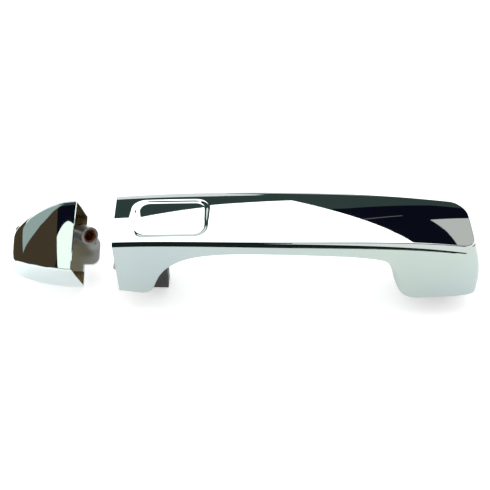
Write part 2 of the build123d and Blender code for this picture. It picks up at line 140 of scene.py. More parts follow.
class Skin:
    """Gathers grids of points, in millimetres, and turns them into one mesh object."""

    def __init__(self, name: str) -> None:
        """Starts an empty skin.

        Args:
            name: Name of the finished piece.
        """
        self.name = name
        self.points: list[np.ndarray] = []
        self.faces: list[tuple[int, ...]] = []
        self.count = 0

    def grid(self, rows: np.ndarray, ring: bool = False) -> None:
        """Adds a sheet of quads.

        Args:
            rows: Array of shape (n, m, 3).
            ring: True joins the last point of each row to its first.
        """
        n, m, _ = rows.shape
        start = self.count
        self.points.append(rows.reshape(-1, 3))
        self.count += n * m
        last = m if ring else m - 1
        for i in range(n - 1):
            for j in range(last):
                a = start + i * m + j
                b = start + i * m + (j + 1) % m
                self.faces.append((a, b, b + m, a + m))

    def fan(self, rim: np.ndarray) -> None:
        """Closes a ring of points with triangles to its middle.

        Args:
            rim: Ring of points.
        """
        start = self.count
        self.points.append(np.vstack([rim, rim.mean(axis=0)[None]]))
        self.count += len(rim) + 1
        for j in range(len(rim)):
            self.faces.append((start + j, start + (j + 1) % len(rim), start + len(rim)))

    def build(self, wall: float = 0.0, heart: Optional[tuple[float, float, float]] = None,
              sharp_deg: float = 34.0) -> bpy.types.Object:
        """Makes the mesh object.

        Args:
            wall: Wall thickness grown inwards, in millimetres, or 0 for a bare sheet.
            heart: A point inside the piece, in millimetres, that faces turn away from.
            sharp_deg: Edges sharper than this stay hard.

        Returns:
            The finished object, linked to the scene.
        """
        mesh = bpy.data.meshes.new(self.name)
        mesh.from_pydata((np.vstack(self.points) * MM).tolist(), [], self.faces)
        for name in ("outside", "inside"):
            mesh.materials.append(bpy.data.materials.get(name) or bpy.data.materials.new(name))
        work = bmesh.new()
        work.from_mesh(mesh)
        bmesh.ops.remove_doubles(work, verts=work.verts, dist=0.004 * MM)
        bmesh.ops.dissolve_degenerate(work, edges=work.edges, dist=0.001 * MM)
        bmesh.ops.recalc_face_normals(work, faces=work.faces)
        if heart is not None:
            middle = Vector(heart) * MM
            lean = sum((f.calc_center_median() - middle).dot(f.normal) * f.calc_area() for f in work.faces)
            if lean < 0:
                bmesh.ops.reverse_faces(work, faces=work.faces)
        work.to_mesh(mesh)
        work.free()
        obj = bpy.data.objects.new(self.name, mesh)
        bpy.context.scene.collection.objects.link(obj)
        if wall > 0:
            shell = obj.modifiers.new("wall", "SOLIDIFY")
            shell.thickness = wall * MM
            shell.offset = -1.0
            shell.material_offset = 1
            settle(obj)
        harden(obj, sharp_deg)
        return obj


def settle(obj: bpy.types.Object) -> None:
    """Applies an object's modifiers to its mesh.

    Args:
        obj: Object whose modifiers are applied.
    """
    graph = bpy.context.evaluated_depsgraph_get()
    made = bpy.data.meshes.new_from_object(obj.evaluated_get(graph))
    obj.modifiers.clear()
    obj.data = made
    made.name = obj.name


def harden(obj: bpy.types.Object, sharp_deg: float) -> None:
    """Smooth shading with hard edges over an angle and area-weighted normals.

    Args:
        obj: Object to shade.
        sharp_deg: Edges sharper than this stay hard.
    """
    mesh = obj.data
    mesh.polygons.foreach_set("use_smooth", [True] * len(mesh.polygons))
    mesh.set_sharp_from_angle(angle=math.radians(sharp_deg))
    even = obj.modifiers.new("even_normals", "WEIGHTED_NORMAL")
    even.mode = "FACE_AREA"
    even.weight = 50
    even.keep_sharp = True


# ---- Finishes ------------------------------------------------------------------------------


class Nodes:
    """Small helper that builds one node material."""

    def __init__(self, name: str) -> None:
        """Starts a material with a Principled shader.

        Args:
            name: Name of the material.
        """
        self.material = bpy.data.materials.new(name)
        self.material.use_nodes = True
        self.tree = self.material.node_tree
        self.shader = self.tree.nodes["Principled BSDF"]
        self.place = self.tree.nodes.new("ShaderNodeTexCoord").outputs["Object"]

    def link(self, out: bpy.types.NodeSocket, into: bpy.types.NodeSocket) -> None:
        """Joins two sockets."""
        self.tree.links.new(out, into)

    def stretched(self, scale: tuple[float, float, float]) -> bpy.types.NodeSocket:
        """Object coordinates scaled per axis.

        Args:
            scale: Factors along x, y and z.

        Returns:
            The scaled coordinates.
        """
        node = self.tree.nodes.new("ShaderNodeMapping")
        node.inputs["Scale"].default_value = scale
        self.link(self.place, node.inputs["Vector"])
        return node.outputs["Vector"]

    def noise(self, scale: float, detail: float = 4.0, roughness: float = 0.5,
              at: Optional[bpy.types.NodeSocket] = None) -> bpy.types.NodeSocket:
        """Noise texture.

        Args:
            scale: Waves per metre, roughly.
            detail: Octaves.
            roughness: How strong the finer octaves are.
            at: Coordinates, or None for plain object coordinates.

        Returns:
            The texture's factor socket.
        """
        node = self.tree.nodes.new("ShaderNodeTexNoise")
        node.inputs["Scale"].default_value = scale
        node.inputs["Detail"].default_value = detail
        node.inputs["Roughness"].default_value = roughness
        self.link(at or self.place, node.inputs["Vector"])
        return node.outputs["Fac"]

    def ramp(self, fac: bpy.types.NodeSocket, stops: Sequence[tuple[float, tuple[float, float, float]]]
             ) -> bpy.types.NodeSocket:
        """Colour ramp through (position, colour) stops.

        Args:
            fac: Factor that picks the colour.
            stops: Positions and colours in order.

        Returns:
            The ramp's colour.
        """
        node = self.tree.nodes.new("ShaderNodeValToRGB")
        bar = node.color_ramp.elements
        while len(bar) < len(stops):
            bar.new(0.5)
        for element, (where, colour) in zip(bar, stops):
            element.position = where
            element.color = (*colour, 1.0)
        self.link(fac, node.inputs["Fac"])
        return node.outputs["Color"]

    def spread(self, fac: bpy.types.NodeSocket, low: float, high: float) -> bpy.types.NodeSocket:
        """Factor mapped from 0.3..0.7 to low..high.

        Args:
            fac: Factor to map.
            low: Result at 0.3.
            high: Result at 0.7.

        Returns:
            The mapped value.
        """
        node = self.tree.nodes.new("ShaderNodeMapRange")
        node.inputs["From Min"].default_value = 0.3
        node.inputs["From Max"].default_value = 0.7
        node.inputs["To Min"].default_value = low
        node.inputs["To Max"].default_value = high
        self.link(fac, node.inputs["Value"])
        return node.outputs["Result"]

    def bump(self, fac: bpy.types.NodeSocket, strength: float, depth: float,
             under: Optional[bpy.types.NodeSocket] = None) -> bpy.types.NodeSocket:
        """Bump from a factor.

        Args:
            fac: Height.
            strength: Share of the bump that shows.
            depth: Height in metres.
            under: Normal of another bump below this one.

        Returns:
            The normal socket.
        """
        node = self.tree.nodes.new("ShaderNodeBump")
        node.inputs["Strength"].default_value = strength
        node.inputs["Distance"].default_value = depth
        self.link(fac, node.inputs["Height"])
        if under is not None:
            self.link(under, node.inputs["Normal"])
        return node.outputs["Normal"]


@dataclass(frozen=True)
class Chrome:
    """Mirror plating: slight tint drift, faint haze, polishing lines and a soft ripple."""

    name: str
    tint: tuple[float, float, float]
    drift: tuple[float, float, float]
    gloss: tuple[float, float] = (0.012, 0.05)
    ripple: float = 0.05

    def material(self) -> bpy.types.Material:
        """Builds the node material.

        Returns:
            The finished material.
        """
        n = Nodes(self.name)
        n.shader.inputs["Metallic"].default_value = 1.0
        broad = n.noise(14.0, 2.0, 0.4)
        n.link(n.ramp(broad, [(0.35, self.tint), (0.68, self.drift)]), n.shader.inputs["Base Color"])
        haze = n.noise(60.0, 6.0, 0.62)
        n.link(n.spread(haze, *self.gloss), n.shader.inputs["Roughness"])
        lines = n.noise(700.0, 2.0, 0.5, n.stretched((0.06, 1.0, 1.0)))
        low = n.bump(n.noise(38.0, 1.0, 0.3), self.ripple, 0.00006)
        n.link(n.bump(lines, 0.02, 0.00001, low), n.shader.inputs["Normal"])
        return n.material


@dataclass(frozen=True)
class Moulded:
    """Moulded plastic or rubber: speckled colour, uneven sheen and a fine grain."""

    name: str
    colour: tuple[float, float, float]
    second: tuple[float, float, float]
    gloss: tuple[float, float]
    grain: float = 900.0
    grain_depth: float = 0.00006
    metallic: float = 0.0

    def material(self) -> bpy.types.Material:
        """Builds the node material.

        Returns:
            The finished material.
        """
        n = Nodes(self.name)
        n.shader.inputs["Metallic"].default_value = self.metallic
        patch = n.noise(120.0, 5.0, 0.6)
        n.link(n.ramp(patch, [(0.3, self.colour), (0.7, self.second)]), n.shader.inputs["Base Color"])
        n.link(n.spread(n.noise(220.0, 3.0), *self.gloss), n.shader.inputs["Roughness"])
        n.link(n.bump(n.noise(self.grain, 3.0, 0.6), 0.5, self.grain_depth), n.shader.inputs["Normal"])
        return n.material


@dataclass(frozen=True)
class Worked:
    """Turned or cast metal: tool lines or casting mottle, with wear and dull patches."""

    name: str
    colour: tuple[float, float, float]
    worn: tuple[float, float, float]
    gloss: tuple[float, float]
    stretch: tuple[float, float, float] = (1.0, 1.0, 1.0)
    scale: float = 400.0
    depth: float = 0.00008

    def material(self) -> bpy.types.Material:
        """Builds the node material.

        Returns:
            The finished material.
        """
        n = Nodes(self.name)
        n.shader.inputs["Metallic"].default_value = 1.0
        mottle = n.noise(180.0, 6.0, 0.65)
        n.link(n.ramp(mottle, [(0.32, self.worn), (0.6, self.colour)]), n.shader.inputs["Base Color"])
        n.link(n.spread(n.noise(300.0, 4.0), *self.gloss), n.shader.inputs["Roughness"])
        marks = n.noise(self.scale, 3.0, 0.55, n.stretched(self.stretch))
        n.link(n.bump(marks, 0.4, self.depth), n.shader.inputs["Normal"])
        return n.material


class Finish(Enum):
    """Every finish on the handle."""

    COVER = Chrome("cover_chrome", (0.66, 0.71, 0.69), (0.63, 0.70, 0.69), (0.008, 0.03), 0.03)
    # Base plating: its tint sits well below the cover's chrome as painted shade, darkening the bright floor
    # that the side walls mirror.
    BASE = Chrome("base_chrome_shaded", (0.425, 0.49, 0.45), (0.38, 0.445, 0.455), (0.05, 0.11), 0.06)
    CAP = Chrome("cap_chrome", (0.66, 0.72, 0.71), (0.60, 0.69, 0.70), (0.012, 0.045), 0.05)
    # Inside of the cap: dark plating whose olive-brown colour is a painted reflection of brown surroundings,
    # darkened further as painted shade inside the shell.
    INNER_SHADED = Moulded("cap_inside_shaded", (0.34, 0.29, 0.15), (0.22, 0.18, 0.09), (0.18, 0.36), 300.0, 0.0001, 0.7)
    BACKING = Moulded("bare_abs", (0.085, 0.085, 0.08), (0.06, 0.06, 0.058), (0.4, 0.6))
    # Near-black for the seam strip: painted shadow of the gap between cover and base.
    SEAM_SHADOW = Moulded("seam_shadow_black", (0.012, 0.013, 0.013), (0.022, 0.022, 0.022), (0.55, 0.8))
    NYLON = Moulded("filled_nylon", (0.017, 0.017, 0.014), (0.030, 0.029, 0.025), (0.42, 0.62))
    PALE = Moulded("acetal", (0.74, 0.72, 0.64), (0.66, 0.64, 0.56), (0.3, 0.45))
    GREY = Moulded("grey_nylon", (0.30, 0.33, 0.33), (0.22, 0.25, 0.25), (0.25, 0.42))
    FOAM = Moulded("foam", (0.05, 0.05, 0.05), (0.09, 0.09, 0.09), (0.8, 0.95), 1400.0, 0.0003)
    STEEL = Worked("bright_steel", (0.62, 0.62, 0.63), (0.42, 0.41, 0.40), (0.16, 0.34), (1.0, 0.05, 1.0))
    SPRING = Worked("spring_steel", (0.20, 0.20, 0.21), (0.11, 0.11, 0.11), (0.3, 0.5))
    SCREWS = Worked("zinc_screws", (0.60, 0.59, 0.53), (0.45, 0.43, 0.36), (0.2, 0.4))
    ZINC = Worked("cast_zinc", (0.86, 0.91, 0.92), (0.52, 0.60, 0.62), (0.1, 0.3), (1.0, 1.0, 1.0), 260.0,
                  0.0002)
    COPPER = Worked("copper_thread", (0.52, 0.20, 0.12), (0.30, 0.10, 0.06), (0.22, 0.45))

    def made(self) -> bpy.types.Material:
        """The finish's material, made once."""
        found = bpy.data.materials.get(self.value.name)
        return found or self.value.material()


def dress(obj: bpy.types.Object, *finishes: Finish) -> None:
    """Gives an object its finishes, the first one outside and the second one inside.

    Args:
        obj: Object to finish.
        finishes: One finish, or the outer and the inner one.
    """
    faces = obj.data.polygons
    which = [0] * len(faces)
    faces.foreach_get("material_index", which)
    obj.data.materials.clear()
    for finish in finishes:
        obj.data.materials.append(finish.made())
    faces.foreach_set("material_index", [min(k, len(finishes) - 1) for k in which])


# ---- Grip ----------------------------------------------------------------------------------


@dataclass
class GripForm:
    """Sizes and smooth surfaces that the grip's pieces share, in millimetres."""

    rear_x: float = -207.0
    crown: float = 1.5
    # x, half width at the crease, crease height, width and drop of the bevel
    stations: Table = (
        (-207.0, 20.9, 47.1, 1.5, 1.9), (-184.0, 21.7, 48.9, 1.5, 2.0), (-145.0, 22.3, 50.8, 1.5, 2.1),
        (-110.0, 22.2, 51.5, 1.5, 2.3), (-77.0, 21.8, 51.7, 1.6, 2.8), (-38.0, 19.9, 51.1, 1.9, 3.5),
        (-15.0, 18.8, 49.4, 2.1, 4.2), (9.0, 18.4, 46.6, 2.2, 4.3),
    )
    degrees: tuple[int, int, int, int] = (4, 4, 3, 3)
    middle: float = -99.0
    reach: float = 108.0
    front_x: float = 3.5        # front edge of the face
    near_corner: float = 6.5    # plan radii of the face's front corners
    far_corner: float = 10.5
    slant: float = 0.09         # how far the front edge leans back towards the far side
    near_round: float = 0.8     # rounding over the crease
    far_round: Table = ((-207.0, 4.6), (-100.0, 5.2), (-50.0, 3.6), (-20.0, 2.2), (9.0, 1.0))
    far_trim: Table = ((-207.0, 2.2), (-145.0, 1.6), (-77.0, 0.7), (-38.0, 0.3), (9.0, 0.0))
    bevel_left: float = 0.35    # share of the bevel that is left at the front
    bevel_hollow: float = 0.07  # how deep the bevel is hollowed
    rear_slant: float = 0.025   # how far the rear end leans in plan
    rear_lean: float = 1.6      # how far the rear end leans in below the crease
    nose: Table = ((0.0, 8.3), (12.0, 8.8), (19.0, 9.0), (33.0, 7.2), (42.3, 4.9), (46.0, 3.8), (56.0, 1.8))

    def __post_init__(self) -> None:
        """Fits one smooth curve to each column of the stations."""
        table = np.array(self.stations)
        t = (table[:, 0] - self.middle) / self.reach
        self.fits = [np.polyfit(t, table[:, k + 1], d) for k, d in enumerate(self.degrees)]

    def column(self, k: int, x: np.ndarray) -> np.ndarray:
        """One fitted column at x."""
        return np.polyval(self.fits[k], (np.asarray(x, float) - self.middle) / self.reach)

    def half(self, x: np.ndarray) -> np.ndarray:
        """Half width at the crease."""
        return self.column(0, x)

    def crease(self, x: np.ndarray) -> np.ndarray:
        """Height of the crease."""
        return self.column(1, x)

    def out(self, x: np.ndarray) -> np.ndarray:
        """Width of the bevel."""
        return self.column(2, x)

    def drop(self, x: np.ndarray) -> np.ndarray:
        """Height of the bevel."""
        return self.column(3, x)

    def seam(self, x: np.ndarray) -> np.ndarray:
        """Height of the seam between cover and base."""
        return self.crease(x) - self.drop(x)

    def side(self, x: np.ndarray) -> np.ndarray:
        """Half width below the seam."""
        return self.half(x) + self.out(x)

    def face(self, x: np.ndarray, y: np.ndarray) -> np.ndarray:
        """Height of the outer face."""
        return self.crease(x) + self.crown * (1 - (y / self.half(x)) ** 2)

    def far_rounding(self, x: np.ndarray) -> np.ndarray:
        """Rounding over the far edge."""
        table = np.array(self.far_round)
        return np.interp(x, table[:, 0], table[:, 1])

    def face_near(self, x: np.ndarray) -> np.ndarray:
        """Half width of the face at its near edge."""
        return self.half(x) - self.near_round * HALF_TURN

    def face_far(self, x: np.ndarray) -> np.ndarray:
        """Half width of the face at its far edge."""
        return self.half(x) - self.far_rounding(x) * HALF_TURN

    def kept_bevel(self, lean: np.ndarray) -> np.ndarray:
        """Share of the bevel that is left where the outline's normal leans forward by lean."""
        return 1 - (1 - self.bevel_left) * smooth((lean - 0.1) / 0.85)

    def settled(self, points: np.ndarray) -> np.ndarray:
        """Points with the far edge trimmed and the rear end leaning, as on the finished grip.

        Args:
            points: Array of (x, y, z) points.

        Returns:
            The moved points.
        """
        out = np.array(points, float)
        x, y, z = points[..., 0], points[..., 1], points[..., 2]
        table = np.array(self.far_trim)
        out[..., 1] = y - np.interp(x, table[:, 0], table[:, 1]) * smooth((y - 13.0) / 9.0)
        near_rear = np.clip((-160.0 - x) / 47.0, 0, 1)
        out[..., 0] = x - self.rear_slant * (y + 20.9) * near_rear
        out[..., 0] += self.rear_lean * np.clip((45.0 - z) / 36.0, 0, 1) * near_rear
        return out

    def front_line(self, front: float, near_width: Callable[[np.ndarray], np.ndarray],
                   far_width: Callable[[np.ndarray], np.ndarray], grow: float = 0.0) -> np.ndarray:
        """Front end of a plan outline, from its near corner round to its far corner.

        Args:
            front: Most forward x.
            near_width: Half width of the near side against x.
            far_width: Half width of the far side against x.
            grow: Added to both corner radii.

        Returns:
            Array of (x, y) points.
        """
        near, far = self.near_corner + grow, self.far_corner + grow
        turn = np.linspace(0, math.pi / 2, 15)
        x_near = front - near + near * np.sin(turn)
        y_near = -near_width(x_near) + near * (1 - np.cos(turn))
        x_far = (front - far + far * np.sin(turn))[::-1]
        y_far = far_width(x_far) - far * (1 - np.cos(turn[::-1]))
        mid = np.linspace(y_near[-1], y_far[0], 16)[1:-1]
        x = np.r_[x_near, np.full(len(mid), front), x_far]
        y = np.r_[y_near, mid, y_far]
        x = x - self.slant * (y + 10.0) * smooth((x - front + 16.0) / 16.0)
        return np.stack([x, y], axis=1)

    def nose_x(self, z: np.ndarray) -> np.ndarray:
        """How far forward the nose stands at a height.

        Args:
            z: Heights.

        Returns:
            The nose's x at each height.
        """
        table = np.array(self.nose)
        fit = np.polyfit(table[:, 0] / 50, table[:, 1], 4)
        return np.polyval(fit, np.asarray(z) / 50)


@dataclass
class Pocket:
    """Shallow recess in the outer face, in millimetres."""

    x: float = -174.6
    y: float = -2.4
    length: float = 48.0
    width: float = 32.0
    corner: float = 9.0
    floor_x: float = -172.9
    floor_y: float = -2.2
    floor_length: float = 37.0
    floor_width: float = 25.6
    floor_corner: float = 5.5
    depth: float = 1.1
    split_x: float = -142.0     # where the face's plain part begins

    def outline(self, angles: np.ndarray, floor: bool) -> np.ndarray:
        """Points where rays from the pocket's middle cross its outline.

        Args:
            angles: Directions of the rays.
            floor: True for the floor's outline.

        Returns:
            Array of (x, y) points.
        """
        length, width, r, cx, cy = self.length, self.width, self.corner, self.x, self.y
        if floor:
            length, width, r = self.floor_length, self.floor_width, self.floor_corner
            cx, cy = self.floor_x, self.floor_y
        c, s = np.cos(angles), np.sin(angles)
        far = np.full(len(angles), 60.0)
        near = np.zeros(len(angles))
        for _ in range(40):
            mid = (far + near) / 2
            px = np.abs(c * mid) - length / 2 + r
            py = np.abs(s * mid) - width / 2 + r
            gap = np.hypot(np.maximum(px, 0), np.maximum(py, 0)) + np.minimum(np.maximum(px, py), 0) - r
            far = np.where(gap > 0, mid, far)
            near = np.where(gap > 0, near, mid)
        return np.stack([cx + c * near, cy + s * near], axis=1)


@dataclass
class Grip:
    """The hinged grip: outer cover, pocket tray and base."""

    form: GripForm = field(default_factory=GripForm)
    pocket: Pocket = field(default_factory=Pocket)
    wall: float = 1.3
    seal: float = 0.6
    turn_steps: int = 7
    notch: tuple[float, float, float] = (-14.5, 16.5, 36.0)     # near y, far y, top z
    rear_foot: Table = ((-207.0, 7.6), (-191.0, 5.6))
    arch: Table = (
        (-188.6, 6.0), (-186.3, 8.8), (-184.4, 12.9), (-181.6, 19.8), (-178.0, 25.6), (-173.5, 30.3),
        (-166.0, 35.3), (-155.0, 39.2), (-138.0, 41.7), (-109.0, 42.4), (-74.0, 41.2), (-58.0, 39.6),
        (-51.0, 38.3), (-46.4, 36.8), (-44.2, 33.6), (-42.6, 27.5), (-40.9, 20.4), (-38.2, 13.4),
        (-33.8, 7.9), (-28.5, 5.5),
    )
    front_foot: Table = ((-28.5, 5.5), (9.0, 7.7))
    cover_wall: float = 0.9
    strip_inset: float = 0.9   # how far the dark seam strip lies inside the cover's edge
    first_turn_deg: float = 8.0     # slope of the face where the crease's rounding begins
    border: np.ndarray = field(init=False, default_factory=lambda: np.zeros((0, 2)))
    seam_line: np.ndarray = field(init=False, default_factory=lambda: np.zeros((0, 3)))

    def face_rows(self) -> tuple[np.ndarray, np.ndarray, np.ndarray]:
        """Plan points of the face, and the face's border, which it keeps for the other methods.

        Returns:
            The plain part as a grid, the ring round the pocket as a grid, and the ring's angles.
        """
        form, pocket = self.form, self.pocket
        front = form.front_line(form.front_x, form.face_near, form.face_far)
        share = (front[:, 1] - front[0, 1]) / (front[-1, 1] - front[0, 1])
        steps = np.linspace(0, 1, 150)
        plain = np.zeros((len(front), len(steps), 2))
        for i, (x_end, y_end) in enumerate(front):
            x = pocket.split_x + (x_end - pocket.split_x) * steps
            low = -form.face_near(x)
            high = form.face_far(x)
            y = low + (high - low) * share[i]
            plain[i, :, 0] = x
            plain[i, :, 1] = y + (y_end - y[-1]) * smooth((x - x_end + 30) / 30)
        right = plain[:, 0]
        count = 70
        far_x = np.linspace(pocket.split_x, form.rear_x, count)
        far = np.stack([far_x, form.face_far(far_x)], axis=1)
        rear_y = np.linspace(far[-1, 1], -form.face_near(form.rear_x), 50)
        rear = np.stack([np.full(50, form.rear_x), rear_y], axis=1)
        near_x = far_x[::-1]
        near = np.stack([near_x, -form.face_near(near_x)], axis=1)
        outer = np.vstack([right[:-1], far[:-1], rear[:-1], near[:-1]])
        angles = np.arctan2(outer[:, 1] - pocket.y, outer[:, 0] - pocket.x)
        inner = pocket.outline(angles, floor=False)
        t = np.linspace(0, 1, 12)[:, None, None]
        ring = inner[None] * (1 - t) + outer[None] * t
        self.border = np.vstack([near[:-1], plain[0], front[1:-1], plain[-1][::-1], far[1:]])
        return plain, ring, angles

    def raised(self, plan: np.ndarray) -> np.ndarray:
        """Plan points lifted to the outer face."""
        return np.concatenate([plan, self.form.face(plan[..., 0], plan[..., 1])[..., None]], axis=-1)

    def border_turn(self) -> tuple[np.ndarray, np.ndarray, np.ndarray, np.ndarray]:
        """Outward normal, crease rounding, bevel width and drop along the face's border.

        Returns:
            Normals, roundings, bevel widths and bevel drops, one row per point of the border.
        """
        form = self.form
        normal = plan_normals(self.border)
        x = self.border[:, 0]
        far = form.far_rounding(x)
        rounding = form.near_round + (far - form.near_round) * smooth((normal[:, 1] - 0.55) / 0.4)
        keep = form.kept_bevel(normal[:, 0])
        return normal, rounding, form.out(x) * (0.25 + 0.75 * keep), form.drop(x) * keep

    def build_cover(self) -> bpy.types.Object:
        """Outer cover: crowned face, rounded crease, bevel and the cut end.

        Returns:
            The finished cover.
        """
        form = self.form
        plain, ring, _ = self.face_rows()
        skin = Skin("cover_shell")
        skin.grid(self.raised(plain))
        skin.grid(self.raised(ring), ring=True)
        normal, rounding, out, drop = self.border_turn()
        x, y = self.border[:, 0], self.border[:, 1]
        top = form.face(x, y)
        first = math.radians(self.first_turn_deg)
        bevel = np.arctan2(drop, out)
        bevel = np.maximum(bevel, first + 0.1)
        rows = []
        for k in range(self.turn_steps + 1):
            angle = first + (bevel - first) * k / self.turn_steps
            across = rounding * (np.sin(angle) - math.sin(first))
            down = rounding * (math.cos(first) - np.cos(angle))
            rows.append((across, down))
        across, down = rows[-1]
        end_down = np.maximum(top - form.crease(x) + drop, down + 0.05)
        end_across = across + (end_down - down) / np.tan(bevel)
        for part in (0.17, 0.33, 0.5, 0.67, 0.83, 1.0):
            dip = self.form.bevel_hollow * 4 * part * (1 - part)
            rows.append((across + (end_across - across) * part - dip * np.sin(bevel),
                         down + (end_down - down) * part + dip * np.cos(bevel)))
        strip = np.array([np.stack([x + normal[:, 0] * a, y + normal[:, 1] * a, top - d], axis=1)
                          for a, d in rows])
        skin.grid(strip)
        self.seam_line = strip[-1]
        return self.finish_shell(skin, self.cover_wall, (-100.0, 0.0, 20.0), ("outer_cover",),
                                 (Finish.COVER, Finish.BACKING))

    def finish_shell(self, skin: Skin, wall: float, heart: tuple[float, float, float], nodes: tuple[str, ...],
                     finishes: tuple[Finish, ...]) -> bpy.types.Object:
        """Builds a shell of the grip, dresses it and ties it to the frame.

        Args:
            skin: The gathered surfaces.
            wall: Wall thickness in millimetres.
            heart: A point inside.
            nodes: CAD nodes that it stands for.
            finishes: Outer and inner finish.

        Returns:
            The finished object.
        """
        skin.points = [self.form.settled(block) for block in skin.points]
        obj = skin.build(wall, heart)
        dress(obj, *finishes)
        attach(obj, Body.GRIP.value)
        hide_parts(*nodes)
        return obj

    def build_seam_shadow(self) -> bpy.types.Object:
        """Near-black strip in place of the seam_seal node, filling the seam between cover and base; its black
        is painted shadow of the gap.

        Returns:
            The finished seam strip.
        """
        line = self.seam_line
        inward = -plan_normals(line[:, :2]) * self.strip_inset
        rows = []
        for down in (-0.1, 0.2, 0.5, self.seal + 0.1):
            rows.append(np.concatenate([line[:, :2] + inward, line[:, 2:] - down], axis=1))
        skin = Skin("seam_shadow_strip")
        skin.grid(np.array(rows))
        return self.finish_shell(skin, 0.6, (-100.0, 0.0, 45.0), ("seam_seal",),
                                 (Finish.SEAM_SHADOW, Finish.SEAM_SHADOW))

    def build_ends(self) -> list[bpy.types.Object]:
        """Rear end walls of the cover and the base, with the base's notch for the cap's boss.

        Returns:
            The cover's end strip and the base's notched wall.
        """
        form = self.form
        x = form.rear_x + 0.02
        half = float(form.face_near(np.array(x)))
        side = float(form.side(np.array(x)))
        seam = float(form.seam(np.array(x)))
        y = np.linspace(-half, float(form.face_far(np.array(x))), 60)
        top = form.face(np.full(60, x), y)
        edge = np.linspace(-side, side, 60)
        rows = []
        for t in np.linspace(0, 1, 8):
            across = y * (1 - t) + edge * t
            rows.append(np.stack([np.full(60, x), across, (top - 0.15) * (1 - t) + seam * t], axis=1))
        strip = Skin("cover_end_strip")
        strip.grid(np.array(rows))
        low = seam - self.seal
        wall = Skin("base_end_wall")
        for y0, y1, z0, z1 in ((-side, side, self.notch[2], low), (-side, self.notch[0], 7.8, self.notch[2]),
                               (self.notch[1], side, 7.8, self.notch[2])):
            ys, zs = np.meshgrid(np.linspace(y0, y1, 24), np.linspace(z0, z1, 24))
            wall.grid(np.stack([np.full(ys.shape, x), ys, zs], axis=-1))
        return [
            self.finish_shell(strip, 1.2, (-100.0, 0.0, 45.0), ("outer_cover",),
                              (Finish.COVER, Finish.BACKING)),
            self.finish_shell(wall, 1.3, (-100.0, 0.0, 25.0), ("grip_base",),
                              (Finish.BASE, Finish.BACKING)),
        ]

    def build_tray(self) -> bpy.types.Object:
        """Pocket tray: rounded lip, sloping sides and a level floor.

        Returns:
            The finished tray.
        """
        _, _, angles = self.face_rows()
        outer = self.pocket.outline(angles, floor=False)
        inner = self.pocket.outline(angles, floor=True)
        rows = []
        for t in np.linspace(0, 1, 26):
            plan = outer * (1 - t) + inner * t
            point = self.raised(plan)
            point[:, 2] -= self.pocket.depth * float(smooth(np.array(t)))
            rows.append(point)
        middle = np.array([self.pocket.floor_x, self.pocket.floor_y])
        for t in np.linspace(0, 1, 22)[1:-1]:
            point = self.raised(inner * (1 - t) + middle * t)
            point[:, 2] -= self.pocket.depth
            rows.append(point)
        skin = Skin("pocket_dish")
        skin.grid(np.array(rows), ring=True)
        skin.fan(rows[-1])
        return self.finish_shell(skin, 1.4, (-174.6, -2.4, 0.0), ("pocket_tray",),
                                 (Finish.COVER, Finish.BACKING))

    def lower_edge(self) -> tuple[np.ndarray, np.ndarray, np.ndarray, np.ndarray]:
        """Lower outline of a side wall.

        Returns:
            Points (x, z), their outward normals, the near edge's rounding, and which belong to the arch.
        """
        foot = flowing(self.rear_foot, 14)
        arch = flowing(self.arch, 190)
        end_x = self.form.front_x - self.form.far_corner - 1.1
        (heel_x, heel_z), (tip_x, tip_z) = self.front_foot
        slope = (tip_z - heel_z) / (tip_x - heel_x)
        toe_x = np.linspace(heel_x, float(end_x), 22)
        toe = np.stack([toe_x, heel_z + slope * (toe_x - toe_x[0])], axis=1)
        line = np.vstack([foot, arch[1:], toe[1:]])
        line = np.stack([softened(line[:, 0], 6), softened(line[:, 1], 6)], axis=1)
        normal = plan_normals(line)
        x = line[:, 0]
        z = line[:, 1]
        rounding = 0.9 + np.where(x > -60, 3.2 * smooth((37.0 - z) / 17) * smooth((z - 4.0) / 17), 0.0)
        on_arch = np.zeros(len(line), bool)
        on_arch[len(foot) - 1:len(foot) + len(arch) - 1] = True
        return line, normal, softened(rounding, 4), on_arch

    def build_base(self) -> bpy.types.Object:
        """Base: side walls, nose, rounded lower edges and finger side.

        Returns:
            The finished base.
        """
        form = self.form
        line, normal, rounding, on_arch = self.lower_edge()
        gone = np.r_[0, np.cumsum(np.linalg.norm(np.diff(line, axis=0), axis=1))]
        share = 0.55 * gone / gone[-1] + 0.45 * (line[:, 0] - line[0, 0]) / (line[-1, 0] - line[0, 0])
        top_x = form.rear_x + (line[-1, 0] - form.rear_x) * share
        skin = Skin("base_shell")
        near_edge: Optional[np.ndarray] = None
        far_edge: Optional[np.ndarray] = None
        walls = np.linspace(0, 1, 26)
        turns = np.linspace(math.pi / 2, 0, 11)
        corner = {}
        for side, radius in ((-1, rounding), (1, np.full(len(line), 1.6))):
            low = line - normal * radius[:, None]
            top = np.stack([top_x, form.seam(top_x) - self.seal], axis=1)
            rows = []
            for t in walls:
                at = top * (1 - t) + low * t
                rows.append(np.stack([at[:, 0], side * form.side(at[:, 0]), at[:, 1]], axis=1))
            for angle in turns[1:]:
                at = line - normal * (radius * (1 - math.cos(angle)))[:, None]
                y = side * (form.side(at[:, 0]) - radius * (1 - math.sin(angle)))
                rows.append(np.stack([at[:, 0], y, at[:, 1]], axis=1))
            skin.grid(np.array(rows))
            corner[side] = np.array(rows)[:, -1]
            if side < 0:
                near_edge = rows[-1][on_arch]
            else:
                far_edge = rows[-1][on_arch]
        across = np.linspace(0, 1, 26)[:, None, None]
        skin.grid(near_edge[None] * (1 - across) + far_edge[None] * across)
        self.add_nose(skin, corner)
        return self.finish_shell(skin, self.wall, (-100.0, 0.0, 30.0), ("grip_base",),
                                 (Finish.BASE, Finish.BACKING))

